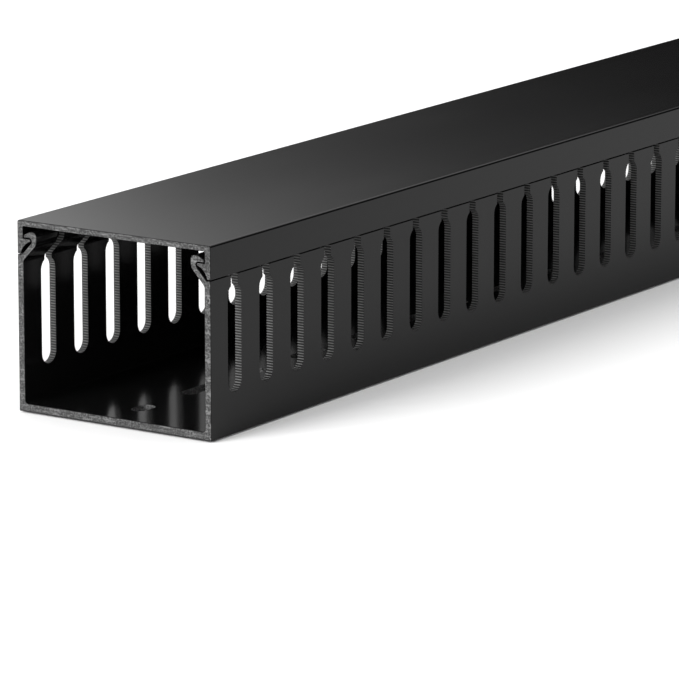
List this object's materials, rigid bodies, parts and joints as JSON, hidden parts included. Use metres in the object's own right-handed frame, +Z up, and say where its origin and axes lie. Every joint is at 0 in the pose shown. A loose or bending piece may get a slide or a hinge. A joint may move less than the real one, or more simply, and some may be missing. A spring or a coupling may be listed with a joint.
{
  "type": "slotted wire duct",
  "caption": "Open-slot plastic wire duct: a trough with slotted side fingers ending in snap hooks, oblong mounting holes in its floor, and a clip-on cover that slides along it.",
  "frame": {"origin": "middle of the duct's underside", "axes": "+X across the duct, +Y along it towards its far end, +Z up towards the cover"},
  "size_m": [0.06, 0.4, 0.05],
  "materials": {
    "trough_plastic": "satin black PVC, saw-cut ends",
    "cover_plastic": "satin black PVC, saw-cut ends"
  },
  "bodies": {
    "trough": {"slotted_trough": "trough_plastic"},
    "cover": {"snap_cover": "cover_plastic"}
  },
  "joints": [
    {"name": "cover_slide", "type": "slide", "parent": "trough", "child": "cover", "axis": [0, 1, 0], "range_m": [-0.4, 0.4]}
  ]
}
